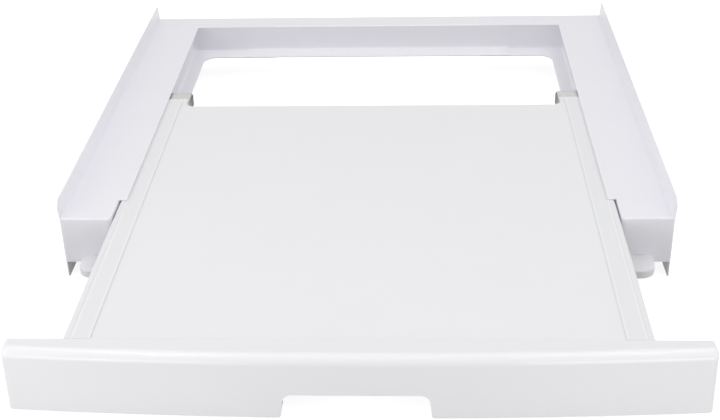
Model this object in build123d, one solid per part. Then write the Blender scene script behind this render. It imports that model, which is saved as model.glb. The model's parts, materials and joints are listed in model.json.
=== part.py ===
from build123d import *
import math
import os

# A frame that joins a dryer to the washer below it, with a pull-out shelf in front.
# X runs across, Y from front to back, Z up. While a piece is drawn, Y is 0 at the
# front of the deck and Z is 0 at the lower edges of the side plates.

# Frame: two side plates and a folded deck that the upper machine stands on
frame_width = 600.0
frame_depth = 548.0
plate_thickness = 1.0
plate_rise = 18.0
plate_flare = 1.7
plate_bend = 3.0
plate_drop = 18.0
plate_corner_run = 7.0
plate_corner_drop = 5.0
plate_tip_radius = 3.0
box_height = 49.5

# Deck: one sheet, open in the middle, folded down at its sides, its back and its front corners
deck_thickness = 1.0
deck_border = 59.0
rear_strip = 33.0
mouth_step = 8.3
mouth_depth = 40.0
mouth_round = 5.5
deck_foot = 14.0
deck_bend = 0.8
apron_round = 1.6
opening_round = 0.7

# Side channels: the walls of the opening, with lips above and ledges below
channel_thickness = 1.0
channel_depth = 33.0
channel_setback = 8.0
channel_lip_setback = 0.4
side_ledge = 18.2
side_bend = 4.0
lip_bend = 0.8
rear_ledge = 26.0
return_length = 112.5
return_round = 18.0

# Rear channel: the back wall of the opening, lapped over the side channels' returns
rear_channel_lap = 41.0
rear_lip = 20.0
rear_ledge_lap = 1.5
rear_bend = 2.0

# Front cross bar: a moulding that ties the front corners together
bar_end_setback = 18.5
bar_reach = 30.5
bar_height = 8.3
bar_corner = 15.0
bar_top_round = 1.8
bar_wall = 2.4
bar_rib = 1.6
bar_rib_end = 33.5
bar_rib_count = 9
bar_boss = 7.0
bar_boss_length = 9.0

# Bearing balls and the races that hold them
ball_diameter = 5.0
race_gap = 0.15
race_spread = 21.8
ball_pitch = 32.0
balls_per_row = 4
cage_length = 120.0
cage_thickness = 0.9
cage_foot_gap = 1.1
cage_bend = 1.4

# Shelf runners: inverted channels under the shelf's two borders
runner_thickness = 1.2
runner_height = 18.0
runner_overhang = 38.5
runner_inset = 16.85
runner_slot = 9.0
runner_setback = 3.0
stop_tab_length = 2.0
stop_tab_width = 8.0
stop_tab_clearance = 0.45
stop_tab_setback = 27.5
stop_clearance = 0.5

# Cabinet rails: the fixed rails, each on a bracket screwed to its side channel
rail_thickness = 1.2
rail_length = 294.0
rail_setback = 6.0
bracket_thickness = 1.5
bracket_foot = 14.0
bracket_bend = 1.5
rail_screw_front_inset = 64.0
rail_screw_rear_inset = 46.0
rail_screws_per_side = 3

# Shelf: a pressed sheet with raised borders and folded skirts
shelf_side_gap = 0.9
shelf_drop = 2.3
shelf_thickness = 1.0
shelf_front_reach = 197.0
shelf_rear_clearance = 97.0
shelf_recess = 0.8
shelf_border_width = 23.6
shelf_skirt = 14.0
shelf_edge_bend = 1.5
shelf_groove_inset = 7.5
shelf_groove_depth = 0.35
shelf_groove_round = 3.5
shelf_rear_bend = 1.0
shelf_fold_lap = 0.5
shelf_front_flange = 20.0
shelf_front_flange_inset = 8.1
tab_width = 29.4
tab_length = 18.0
tab_corner = 6.0
tab_level_run = 7.5
shelf_shut_gap = 16.0

# Stiffeners: two hat sections across the underside of the shelf
stiffener_end_gap = 9.5
stiffener_crown = 40.0
stiffener_height = 12.0
stiffener_flange = 12.0
stiffener_thickness = 0.8
stiffener_bend = 1.0
stiffener_front_place = 105.0
stiffener_rear_place = 120.0

# Front panel: a bowed hollow moulding with a hand notch in its lower edge
panel_end_setback = 2.75
panel_height = 61.0
panel_back_gap = 0.3
panel_end_depth = 17.0
panel_bow = 10.0
panel_wall = 2.5
panel_draft = 1.0
panel_front_round = 9.0
panel_end_round = 4.5
panel_sole = 9.0
notch_top_width = 123.0
notch_flare = 2.0
notch_height = 23.5
notch_round = 9.0
notch_foot_round = 2.5
notch_lip_depth = 9.0
panel_rib = 1.8
panel_rib_foot = 27.0
panel_boss = 9.0
panel_boss_drop = 11.0
panel_boss_shares = (0.32, 0.69)
panel_rib_shares = (0.52, 0.88)

# Screws and buffers
screw_diameter = 3.5
screw_head = 7.0
screw_head_height = 2.2
screw_length = 11.0
screw_hole_gap = 0.2
rail_screw_diameter = 4.0
rail_screw_head = 7.6
rail_screw_head_height = 1.8
rail_screw_length = 7.0
bar_screw_outer_inset = 6.5
bar_screw_inner_inset = 19.5
buffer_diameter = 7.0
buffer_inset = 81.5
buffer_stem = 3.0
buffer_stem_length = 4.0
buffer_clearance = 0.3

# Length by which every cut runs past what it cuts
overrun = 5.0

# Levels and places that follow from the sizes above
deck_z = plate_drop + box_height
under_deck_z = deck_z - deck_thickness
plate_height = deck_z + plate_rise
deck_half = frame_width / 2 - plate_thickness
opening_back = frame_depth - rear_strip
opening_half = frame_width / 2 - deck_border
mouth_half = opening_half + mouth_step
channel_half = opening_half + channel_setback
bar_half = frame_width / 2 - bar_end_setback
buffer_place = bar_half - buffer_inset
shelf_half = channel_half - shelf_side_gap
shelf_travel_in = shelf_front_reach - shelf_shut_gap
shelf_rear = frame_depth - shelf_rear_clearance - shelf_travel_in
recess_half = shelf_half - shelf_border_width
tab_inner_half = shelf_half - tab_width
panel_half = frame_width / 2 - panel_end_setback
ledge_z = under_deck_z - channel_depth
rear_wall = opening_back + channel_lip_setback
shelf_z = deck_z - shelf_drop
recess_z = shelf_z - shelf_recess
runner_top = recess_z - shelf_thickness
runner_centre = shelf_half - runner_inset
race_radius = ball_diameter / 2 + race_gap
race_offset = race_spread / 2
race_inset = race_radius + runner_thickness
upper_race = runner_top - race_inset
lower_race = runner_top - runner_height + race_inset
runner_half = race_offset + race_inset
runner_front = -shelf_front_reach + runner_setback
runner_rear = shelf_rear + runner_overhang
rail_tab_front = rail_setback + stop_tab_length
runner_tab_front = runner_rear - stop_tab_setback
least_cage_front = rail_tab_front + stop_tab_length + stop_clearance
shelf_travel_out = runner_tab_front - stop_clearance - cage_length - least_cage_front
cage_front = least_cage_front + shelf_travel_out / 2
cage_rear = cage_front + cage_length
first_ball = cage_front + (cage_length - ball_pitch * (balls_per_row - 1)) / 2
panel_back = -shelf_front_reach - panel_back_gap
panel_z = shelf_z - panel_height
panel_boss_z = shelf_z - panel_boss_drop
bracket_z = ledge_z + channel_thickness
bracket_web = runner_centre - bracket_thickness / 2
bracket_flat = bracket_web + bracket_thickness + bracket_bend
rail_screw_x = (bracket_flat + bracket_web + bracket_foot) / 2
panel_reach = shelf_front_reach + panel_back_gap + panel_end_depth + panel_bow


def block(x_from, x_to, y_from, y_to, z_from, z_to):
    """Box between two opposite corners."""
    size = (x_to - x_from, y_to - y_from, z_to - z_from)
    centre = ((x_from + x_to) / 2, (y_from + y_to) / 2, (z_from + z_to) / 2)
    return Pos(*centre) * Box(*size)


def outline(points):
    """Flat face inside a closed run of points."""
    return make_face(Polyline(*points, close=True))


def corner(face, u, v):
    """The corner of a flat face that lies nearest to a point."""
    return min(face.vertices(), key=lambda vertex: math.hypot(vertex.X - u, vertex.Y - v))


def edge_at(shape, x, y, z):
    """The edge whose middle lies nearest to a point."""
    place = Vector(x, y, z)
    return min(shape.edges(), key=lambda edge: ((edge @ 0.5) - place).length)


def sheet_section(points, thickness, bends):
    """Section of a folded sheet: its outer face follows the points, its thickness is to their left."""
    steps = [(b[0] - a[0], b[1] - a[1]) for a, b in zip(points, points[1:])]
    ways = [(u / math.hypot(u, v), v / math.hypot(u, v)) for u, v in steps]
    inner = []
    for index, (u, v) in enumerate(points):
        before = ways[max(index - 1, 0)]
        after = ways[min(index, len(ways) - 1)]
        normal = (-before[1] - after[1], before[0] + after[0])
        share = 1 / (1 + before[0] * after[0] + before[1] * after[1])
        inner.append((u + normal[0] * thickness * share, v + normal[1] * thickness * share))
    face = outline(points + inner[::-1])
    for bend, outer_point, inner_point in zip(bends, points[1:-1], inner[1:-1]):
        face = fillet(corner(face, *outer_point), bend + thickness)
        face = fillet(corner(face, *inner_point), bend)
    return face


def along_depth(section, y_from, y_to):
    """Extrude a section drawn in X and Z from front to back."""
    plane = Plane(origin=(0, y_from, 0), x_dir=(1, 0, 0), z_dir=(0, -1, 0))
    return extrude(plane * section, amount=y_to - y_from, dir=(0, 1, 0))


def across_width(section, x_from, x_to):
    """Extrude a section drawn in Y and Z from left to right."""
    plane = Plane(origin=(x_from, 0, 0), x_dir=(0, 1, 0), z_dir=(1, 0, 0))
    return extrude(plane * section, amount=x_to - x_from, dir=(1, 0, 0))


def upward(face, z_from, z_to):
    """Extrude a face drawn in X and Y between two levels."""
    return extrude(Pos(0, 0, z_from) * face, amount=z_to - z_from, dir=(0, 0, 1))


def mirrored(shape):
    """The left-hand copy of a right-hand shape."""
    return mirror(shape, about=Plane.YZ)


def both_sides(shape):
    """A right-hand shape and its left-hand copy as one solid."""
    return shape + mirrored(shape)


def pin_along_depth(x, z, y_from, y_to, diameter):
    """Cylinder that points from front to back."""
    middle = Pos(x, (y_from + y_to) / 2, z) * Rot(90, 0, 0)
    return middle * Cylinder(diameter / 2, y_to - y_from)


def pin_upright(x, y, z_from, z_to, diameter):
    """Cylinder that stands upright."""
    return Pos(x, y, (z_from + z_to) / 2) * Cylinder(diameter / 2, z_to - z_from)


# Frame pieces

def deck_face():
    """Plan of the deck behind its front corners, open in the middle."""
    right = [
        (opening_half, opening_back),
        (opening_half, mouth_depth),
        (deck_half, mouth_depth),
        (deck_half, frame_depth),
    ]
    left = [(-x, y) for x, y in right]
    return outline(right + left[::-1])


def deck_side():
    """Outer wall of the deck with the foot that stands on the lower machine."""
    points = [(deck_half - deck_foot, plate_drop), (deck_half, plate_drop), (deck_half, deck_z)]
    section = sheet_section(points, deck_thickness, [deck_bend])
    return along_depth(section, 0, frame_depth)


def deck_rear_apron():
    """Back wall of the deck, right-hand half."""
    return block(0, deck_half, frame_depth - deck_thickness, frame_depth, plate_drop, deck_z)


def front_corner_form(inset, rear, round_above):
    """Solid front corner, rounded at its upright edge and along its top, set in by a wall."""
    face = outline([(mouth_half + inset, rear), (mouth_half + inset, inset), (deck_half, inset), (deck_half, rear)])
    face = fillet(corner(face, mouth_half + inset, inset), mouth_round - inset)
    top = deck_z - inset
    form = upward(face, plate_drop, top)
    cut_corner = inset + (mouth_round - inset) * (1 - math.sqrt(1 / 2))
    edges = [
        edge_at(form, mouth_half + inset, (mouth_round + rear) / 2, top),
        edge_at(form, mouth_half + cut_corner, cut_corner, top),
        edge_at(form, (mouth_half + mouth_round + deck_half) / 2, inset, top),
    ]
    return fillet(edges, round_above)


def deck_front_corner():
    """Apron in front of a side box and the wall that returns along the mouth."""
    outer = front_corner_form(0, mouth_depth, apron_round)
    return outer - front_corner_form(deck_thickness, mouth_depth + overrun, apron_round - deck_thickness)


def deck_panel():
    sheet = upward(deck_face(), under_deck_z, deck_z)
    side_middle = (mouth_depth + opening_back) / 2
    edges = [edge_at(sheet, side * opening_half, side_middle, deck_z) for side in (-1, 1)]
    edges.append(edge_at(sheet, 0, opening_back, deck_z))
    folds = deck_side() + deck_front_corner() + deck_rear_apron()
    return fillet(edges, opening_round) + both_sides(folds) - bar_screw_holes()


def side_plate():
    face = outline([
        (0, 0),
        (frame_depth, 0),
        (frame_depth, plate_height),
        (plate_corner_run, plate_height),
        (0, plate_height - plate_corner_drop),
    ])
    tips = [corner(face, 0, 0), corner(face, frame_depth, 0)]
    outer = frame_width / 2
    side_view = across_width(fillet(tips, plate_tip_radius), deck_half - overrun, outer + overrun)
    points = [(outer, -overrun), (outer, deck_z), (outer + plate_flare, plate_height)]
    return along_depth(sheet_section(points, plate_thickness, [plate_bend]), 0, frame_depth) & side_view


def side_channel():
    """Wall of the opening with its lip, its ledge and the return along the back."""
    outer = channel_half + channel_thickness
    free_edge = channel_half - side_ledge
    lip_edge = opening_half + channel_lip_setback
    points = [(free_edge, ledge_z), (outer, ledge_z), (outer, under_deck_z), (lip_edge, under_deck_z)]
    section = sheet_section(points, channel_thickness, [side_bend, lip_bend])
    return_front = rear_wall + channel_thickness
    return_back = return_front + channel_thickness
    wall = along_depth(section, mouth_depth, return_back)
    bend_start = channel_half - side_bend
    return_edge = opening_back - rear_ledge
    return_end = channel_half - return_length
    ledge_face = outline([
        (bend_start, mouth_depth),
        (free_edge, mouth_depth),
        (free_edge, return_edge),
        (return_end, return_edge),
        (return_end, return_back),
        (bend_start, return_back),
    ])
    ledge_face = fillet(corner(ledge_face, free_edge, return_edge), return_round)
    ledge = upward(ledge_face, ledge_z, ledge_z + channel_thickness)
    back_wall = block(return_end, channel_half, return_front, return_back, ledge_z, under_deck_z)
    channel = wall + ledge + back_wall
    for hole in rail_screw_shanks(screw_hole_gap):
        channel -= hole
    return channel


def rear_channel():
    """Back wall of the opening, with a ledge in front and a lip under the deck's rear strip."""
    wall_back = rear_wall + channel_thickness
    rear_ledge_z = ledge_z + channel_thickness
    ledge_front = opening_back - rear_ledge - rear_ledge_lap
    points = [(ledge_front, rear_ledge_z), (wall_back, rear_ledge_z), (wall_back, under_deck_z)]
    section = sheet_section(points, channel_thickness, [rear_bend])
    return_end = channel_half - return_length
    half = return_end + rear_channel_lap
    lip_half = return_end - channel_lip_setback
    lip = block(-lip_half, lip_half, rear_wall, rear_wall + rear_lip, under_deck_z - channel_thickness, under_deck_z)
    return across_width(section, -half, half) + lip


def bar_plan(inset):
    """Plan of the cross bar, set in from its outline by a wall."""
    half = bar_half - inset
    face = outline([(-half, -inset), (half, -inset), (half, inset - bar_reach), (-half, inset - bar_reach)])
    tips = [corner(face, half, -bar_reach), corner(face, -half, -bar_reach)]
    return fillet(tips, bar_corner - inset)


def bar_screw_places():
    insets = (bar_screw_inner_inset, bar_screw_outer_inset)
    return [side * (bar_half - inset) for side in (-1, 1) for inset in insets]


def bar_screw_holes():
    """Clearance holes through the aprons and the bar's back wall."""
    z = plate_drop + bar_height / 2
    holes = [pin_along_depth(x, z, -screw_length, overrun, screw_diameter + screw_hole_gap)
             for x in bar_screw_places()]
    return Compound(holes)


def front_cross_bar():
    top = plate_drop + bar_height
    bar = upward(bar_plan(0), plate_drop, top)
    bar = fillet(bar.faces().sort_by(Axis.Z)[-1].edges(), bar_top_round)
    bar -= upward(bar_plan(bar_wall), plate_drop - overrun, top - bar_wall)
    rib_front = -bar_reach + bar_wall / 2
    last_rib = bar_half - bar_rib_end
    for index in range(bar_rib_count):
        x = last_rib * (2 * index / (bar_rib_count - 1) - 1)
        bar += block(x - bar_rib / 2, x + bar_rib / 2, rib_front, -bar_wall / 2, plate_drop, top)
    for x in bar_screw_places():
        bar += block(x - bar_boss / 2, x + bar_boss / 2, -bar_wall - bar_boss_length, 0, plate_drop, top)
    bar -= bar_screw_holes()
    for side in (-1, 1):
        bar -= buffer_stem_pin(side, screw_hole_gap)
    return bar


def buffer_stem_pin(side, gap):
    """Stem that holds a buffer in the bar's front wall."""
    z = plate_drop + bar_height / 2
    stem_back = -bar_reach + buffer_stem_length
    return pin_along_depth(side * buffer_place, z, -bar_reach, stem_back, buffer_stem + gap)


def buffer_front():
    """Where the shut panel's inner face stops, less the clearance."""
    bow_share = (buffer_place / panel_half) ** 2
    inner_face = -panel_reach + panel_bow * bow_share + panel_wall
    return inner_face - panel_lean(shelf_z - plate_drop) + shelf_travel_in + buffer_clearance


def closing_buffers():
    z = plate_drop + bar_height / 2
    pads = []
    for side in (-1, 1):
        pad = pin_along_depth(side * buffer_place, z, buffer_front(), -bar_reach, buffer_diameter)
        pads.append(pad + buffer_stem_pin(side, 0))
    return Compound(pads)


# Runners

def race_centres():
    """The four rows of balls in a runner, seen from the front."""
    return [(runner_centre + side * race_offset, z) for side in (-1, 1) for z in (lower_race, upper_race)]


def race_circles(radius):
    """Circles of one radius about the four rows."""
    return Sketch() + [Pos(x, z) * Circle(radius) for x, z in race_centres()]


def ball_places():
    return [(x, first_ball + index * ball_pitch, z)
            for x, z in race_centres() for index in range(balls_per_row)]


def rail_head_section():
    """Hollow rail whose four corners are rolled in as ball races."""
    middle_z = (lower_race + upper_race) / 2
    height = upper_race - lower_race
    skin = Pos(runner_centre, middle_z) * Rectangle(race_spread, height) - race_circles(race_radius)
    hollow = Rectangle(race_spread - 2 * rail_thickness, height - 2 * rail_thickness)
    hollow = Pos(runner_centre, middle_z) * hollow - race_circles(race_radius + rail_thickness)
    return skin - hollow


def rail_bracket_section():
    """Folded bracket from the rail's underside to the side channel's ledge."""
    points = [
        (bracket_web, lower_race + rail_thickness / 2),
        (bracket_web, bracket_z),
        (bracket_web + bracket_foot, bracket_z),
    ]
    return sheet_section(points, bracket_thickness, [bracket_bend])


def rail_screw_places():
    first = rail_setback + rail_screw_front_inset
    pitch = (rail_length - rail_screw_front_inset - rail_screw_rear_inset) / (rail_screws_per_side - 1)
    return [first + index * pitch for index in range(rail_screws_per_side)]


def rail_screw_shanks(gap):
    """Shanks of the screws from a bracket down into its side channel."""
    top = bracket_z + bracket_thickness
    return [pin_upright(rail_screw_x, y, top - rail_screw_length, top, rail_screw_diameter + gap)
            for y in rail_screw_places()]


def cabinet_rail():
    rear = rail_setback + rail_length
    rail = along_depth(rail_head_section(), rail_setback, rear)
    rail += along_depth(rail_bracket_section(), rail_setback, rear)
    tab_rear = rail_tab_front + stop_tab_length
    tab_top = runner_top - runner_thickness - stop_tab_clearance
    tab_left = runner_centre - stop_tab_width / 2
    tab_right = runner_centre + stop_tab_width / 2
    tab_base = upper_race - rail_thickness / 2
    rail += block(tab_left, tab_right, rail_tab_front, tab_rear, tab_base, tab_top)
    for hole in rail_screw_shanks(screw_hole_gap):
        rail -= hole
    return rail


def shelf_runner():
    left = runner_centre - runner_half
    right = runner_centre + runner_half
    foot = runner_top - runner_height
    points = [
        (runner_centre + runner_slot / 2, foot),
        (right, foot),
        (right, runner_top),
        (left, runner_top),
        (left, foot),
        (runner_centre - runner_slot / 2, foot),
    ]
    section = sheet_section(points, runner_thickness, [race_radius] * 4)
    runner = along_depth(section, runner_front, runner_rear)
    tab_rear = runner_tab_front + stop_tab_length
    tab_left = runner_centre - stop_tab_width / 2
    tab_right = runner_centre + stop_tab_width / 2
    tab_foot = upper_race + stop_tab_clearance
    tab_top = runner_top - runner_thickness / 2
    return runner + block(tab_left, tab_right, runner_tab_front, tab_rear, tab_foot, tab_top)


def ball_cage():
    """Bent strip in the gap between rail and runner, with a pocket for each ball."""
    middle_gap = (race_inset - runner_thickness + cage_thickness) / 2
    reach = race_offset + middle_gap
    top = upper_race + middle_gap
    foot = runner_top - runner_height + runner_thickness + cage_foot_gap
    points = [
        (runner_centre + reach, foot),
        (runner_centre + reach, top),
        (runner_centre - reach, top),
        (runner_centre - reach, foot),
    ]
    cage = along_depth(sheet_section(points, cage_thickness, [cage_bend] * 2), cage_front, cage_rear)
    for place in ball_places():
        cage -= Pos(*place) * Rot(0, 45, 0) * Sphere(race_radius)
    return cage


def bearing_balls():
    return Compound([Pos(*place) * Sphere(ball_diameter / 2) for place in ball_places()])


# Shelf

def shelf_plan():
    """Plan of the shelf's flat sheet, with a tab behind each border."""
    half = shelf_half - shelf_edge_bend - shelf_thickness
    tab_rear = shelf_rear + tab_length
    right = [
        (tab_inner_half, shelf_rear),
        (tab_inner_half, tab_rear),
        (half, tab_rear),
        (half, -shelf_front_reach),
    ]
    left = [(-x, y) for x, y in right]
    face = outline(right + left[::-1])
    tips = [corner(face, tab_inner_half, shelf_rear), corner(face, -tab_inner_half, shelf_rear)]
    return fillet(tips, tab_corner)


def shelf_border():
    """Raised border with its rounded edge and skirt, and a shallow groove along it."""
    points = [(shelf_half, shelf_z - shelf_skirt), (shelf_half, shelf_z), (recess_half, shelf_z)]
    section = sheet_section(points, shelf_thickness, [shelf_edge_bend])
    groove_x = shelf_half - shelf_groove_inset
    groove_z = shelf_z + shelf_groove_round - shelf_groove_depth
    tab_rear = shelf_rear + tab_length
    groove = pin_along_depth(groove_x, groove_z, -shelf_front_reach, tab_rear, shelf_groove_round * 2)
    return along_depth(section, -shelf_front_reach, tab_rear) - groove


def shelf_panel():
    tab_rear = shelf_rear + tab_length
    level_y = shelf_rear + tab_level_run
    foot = shelf_z - shelf_skirt
    lap = shelf_thickness / 2
    plan = upward(shelf_plan(), recess_z - shelf_thickness, shelf_z)
    recess_side = recess_half + lap
    centre = plan & block(-recess_side, recess_side, -shelf_front_reach, level_y + lap, runner_top, recess_z)
    tab = plan & block(0, recess_side, level_y, tab_rear, shelf_z - shelf_thickness, shelf_z)
    body = centre + both_sides(tab) + both_sides(shelf_border())
    skirt_half = tab_inner_half - tab_corner
    fold = shelf_rear - shelf_rear_bend - shelf_thickness - shelf_fold_lap
    body -= block(-skirt_half, skirt_half, fold, shelf_rear + lap, foot, shelf_z)
    points = [(shelf_rear, foot), (shelf_rear, recess_z), (fold, recess_z)]
    skirt = sheet_section(points, shelf_thickness, [shelf_rear_bend])
    body += across_width(skirt, -skirt_half, skirt_half)
    flange_half = shelf_half - shelf_front_flange_inset
    flange_back = -shelf_front_reach + shelf_thickness
    flange_foot = shelf_z - shelf_front_flange
    body += block(-flange_half, flange_half, -shelf_front_reach, flange_back, flange_foot, recess_z)
    for x in panel_screw_places():
        body -= panel_screw_shank(x, screw_hole_gap)
    return body


def stiffener(y):
    """Hat section across the shelf, open side up."""
    crown = stiffener_crown / 2
    brim = crown + stiffener_flange
    low = runner_top - stiffener_height
    high = runner_top - stiffener_thickness
    points = [
        (y - brim, high),
        (y - crown, high),
        (y - crown, low),
        (y + crown, low),
        (y + crown, high),
        (y + brim, high),
    ]
    section = sheet_section(points, stiffener_thickness, [stiffener_bend] * 4)
    half = runner_centre - runner_half - stiffener_end_gap
    return across_width(section, -half, half)


# Front panel

def panel_lean(height):
    """How far the panel's faces lean out over a height."""
    return math.tan(math.radians(panel_draft)) * height


def panel_profile(inset, height, front_round):
    """Section through the middle of the panel, set in from its outline by a wall."""
    front = -panel_reach + inset
    top = shelf_z - inset
    back = -shelf_front_reach + overrun
    foot = top - height
    face = outline([(back, top), (front, top), (front - panel_lean(height), foot), (back, foot)])
    return fillet(corner(face, front, top), front_round)


def panel_form(inset, height, front_round, end_round):
    """Bowed body turned from the profile, cut off at the panel's ends and rounded there."""
    half = panel_half - inset
    top = shelf_z - inset
    foot = top - height
    lean = panel_lean(height)
    bow_radius = (panel_half ** 2 + panel_bow ** 2) / (2 * panel_bow)
    bow_axis = Axis((0, bow_radius - panel_reach, 0), (0, 0, 1))
    half_turn = math.degrees(math.asin((half + lean + overrun) / bow_radius))
    plane = Plane(origin=(0, 0, 0), x_dir=(0, 1, 0), z_dir=(1, 0, 0))
    body = revolve(plane * panel_profile(inset, height, front_round), bow_axis, 2 * half_turn)
    body = body.rotate(bow_axis, -half_turn)
    ends = outline([(-half, top), (half, top), (half + lean, foot), (-half - lean, foot)])
    body &= along_depth(ends, -panel_reach - overrun, overrun)
    end = -panel_reach + panel_bow + inset
    edges = []
    for side in (-1, 1):
        edges.append(edge_at(body, side * (half + lean / 2), end - lean / 2, top - height / 2))
        edges.append(edge_at(body, side * half, (end + front_round - shelf_front_reach) / 2, top))
    return fillet(edges, end_round)


def notch_face(grow):
    """Hand notch, seen from the front, widened all round by a wall."""
    top = panel_z + notch_height + grow
    half = notch_top_width / 2 + grow
    foot = half + notch_flare
    below = panel_z - overrun
    right = [(half, top), (foot, panel_z), (foot + overrun, panel_z), (foot + overrun, below)]
    left = [(-x, z) for x, z in right]
    face = outline(right + left[::-1])
    for side in (-1, 1):
        face = fillet(corner(face, side * half, top), notch_round + grow)
        face = fillet(corner(face, side * foot, panel_z), notch_foot_round)
    return face


def panel_screw_places():
    return [side * panel_half * share for side in (-1, 1) for share in panel_boss_shares]


def panel_screw_shank(x, gap):
    back = -shelf_front_reach + shelf_thickness
    return pin_along_depth(x, panel_boss_z, back - screw_length, back, screw_diameter + gap)


def front_panel():
    outer = panel_form(0, panel_height, panel_front_round, panel_end_round)
    inner_front = panel_front_round - panel_wall
    inner_end = panel_end_round - panel_wall
    inner = panel_form(panel_wall, panel_height, inner_front, inner_end)
    sole_top = panel_z + panel_wall
    side = panel_half + overrun
    hollow = inner & block(-side, side, -panel_reach - overrun, overrun, sole_top, shelf_z)
    shell = outer - hollow
    sole_back = -panel_reach + panel_bow + panel_sole
    inner_half = panel_half - panel_wall
    shell -= block(-inner_half, inner_half, sole_back, overrun, panel_z - overrun, sole_top)
    inside = outer & block(-side, side, -panel_reach - overrun, panel_back, panel_z, shelf_z)
    rib_foot = panel_z + panel_rib_foot
    inner_parts = []
    for x in panel_rib_places():
        rib = block(x - panel_rib / 2, x + panel_rib / 2, -panel_reach, panel_back, rib_foot, shelf_z)
        inner_parts.append(rib)
    for x in panel_screw_places():
        inner_parts.append(pin_along_depth(x, panel_boss_z, -panel_reach, -shelf_front_reach, panel_boss))
    front_inner = -panel_reach + panel_wall
    lip = along_depth(notch_face(panel_wall), front_inner - panel_wall / 2, front_inner + notch_lip_depth)
    body = (shell & inside) + (lip & inside)
    for inner_part in inner_parts:
        body += inner_part & outer
    body -= along_depth(notch_face(0), -panel_reach - overrun, overrun)
    for x in panel_screw_places():
        body -= panel_screw_shank(x, 0)
    return body


def panel_rib_places():
    return [side * panel_half * share for side in (-1, 1) for share in panel_rib_shares]


# Fasteners

def panel_screws():
    screws = []
    flange_back = -shelf_front_reach + shelf_thickness
    for x in panel_screw_places():
        head = pin_along_depth(x, panel_boss_z, flange_back, flange_back + screw_head_height, screw_head)
        screws.append(panel_screw_shank(x, 0) + head)
    return Compound(screws)


def cross_bar_screws():
    screws = []
    z = plate_drop + bar_height / 2
    for x in bar_screw_places():
        head = pin_along_depth(x, z, deck_thickness, deck_thickness + screw_head_height, screw_head)
        screws.append(head + pin_along_depth(x, z, -screw_length, deck_thickness, screw_diameter))
    return Compound(screws)


def cabinet_rail_screws():
    right = []
    top = bracket_z + bracket_thickness
    for y, shank in zip(rail_screw_places(), rail_screw_shanks(0)):
        head = pin_upright(rail_screw_x, y, top, top + rail_screw_head_height, rail_screw_head)
        right.append(head + shank)
    return Compound(right + [mirrored(screw) for screw in right])


right_hand = {
    "side_plate": side_plate(),
    "side_channel": side_channel(),
    "cabinet_rail": cabinet_rail(),
    "shelf_runner": shelf_runner(),
    "ball_cage": ball_cage(),
    "bearing_balls": bearing_balls(),
}

nodes = {
    "deck_panel": deck_panel(),
    "rear_channel": rear_channel(),
    "front_cross_bar": front_cross_bar(),
    "closing_buffers": closing_buffers(),
    "shelf_panel": shelf_panel(),
    "shelf_stiffener_front": stiffener(-stiffener_front_place),
    "shelf_stiffener_rear": stiffener(stiffener_rear_place),
    "front_panel": front_panel(),
    "panel_screws": panel_screws(),
    "cross_bar_screws": cross_bar_screws(),
    "cabinet_rail_screws": cabinet_rail_screws(),
}
for name, shape in right_hand.items():
    nodes[name + "_right"] = shape
    nodes[name + "_left"] = mirrored(shape)

# The row's origin is under the middle of the whole object, at the plates' lower edges
depth_centre = (frame_depth + nodes["front_panel"].bounding_box().min.Y) / 2
os.makedirs("parts", exist_ok=True)
for name, shape in nodes.items():
    export_step(Pos(0, -depth_centre, 0) * shape, f"parts/{name}.step")
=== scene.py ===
import json
import math

import bmesh
import bpy
from bpy.props import FloatProperty, FloatVectorProperty, IntProperty, PointerProperty
from mathutils import Matrix, Vector


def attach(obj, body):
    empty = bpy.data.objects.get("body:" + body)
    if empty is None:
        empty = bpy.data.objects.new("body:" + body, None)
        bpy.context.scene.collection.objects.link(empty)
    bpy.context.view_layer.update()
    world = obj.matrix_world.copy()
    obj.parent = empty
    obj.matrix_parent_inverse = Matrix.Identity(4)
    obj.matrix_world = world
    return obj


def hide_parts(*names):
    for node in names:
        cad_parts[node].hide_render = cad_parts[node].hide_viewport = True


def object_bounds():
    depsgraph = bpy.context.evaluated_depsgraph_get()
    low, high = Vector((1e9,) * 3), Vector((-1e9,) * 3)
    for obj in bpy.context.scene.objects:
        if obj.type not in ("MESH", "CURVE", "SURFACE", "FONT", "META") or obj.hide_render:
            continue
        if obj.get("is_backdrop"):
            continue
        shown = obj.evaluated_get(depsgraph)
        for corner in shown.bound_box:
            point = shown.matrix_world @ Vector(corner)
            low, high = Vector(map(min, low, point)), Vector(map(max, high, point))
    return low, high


bl_info = {
    "name": "Stacking kit looks",
    "version": (1, 0, 0),
    "blender": (4, 5, 0),
    "location": "3D View > Sidebar > Stacking kit",
    "description": "Dresses the laundry stacking frame with its finishes, small parts and studio",
    "category": "Object",
}

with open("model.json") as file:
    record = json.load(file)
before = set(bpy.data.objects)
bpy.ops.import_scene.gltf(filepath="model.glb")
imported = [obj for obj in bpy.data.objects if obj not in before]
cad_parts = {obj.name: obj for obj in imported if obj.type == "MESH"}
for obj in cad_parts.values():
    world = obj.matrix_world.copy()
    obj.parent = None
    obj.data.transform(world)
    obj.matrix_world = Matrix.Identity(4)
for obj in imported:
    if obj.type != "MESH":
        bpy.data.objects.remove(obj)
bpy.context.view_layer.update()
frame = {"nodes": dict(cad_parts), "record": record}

FRAME = "frame"
SHELF = "shelf"

record_slots = {part["node"]: part["material_slot"] for part in frame["record"]["subparts"]}

# Thickness of the folded sheets, in metres
sheet_thickness = 0.001


# Settings

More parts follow.
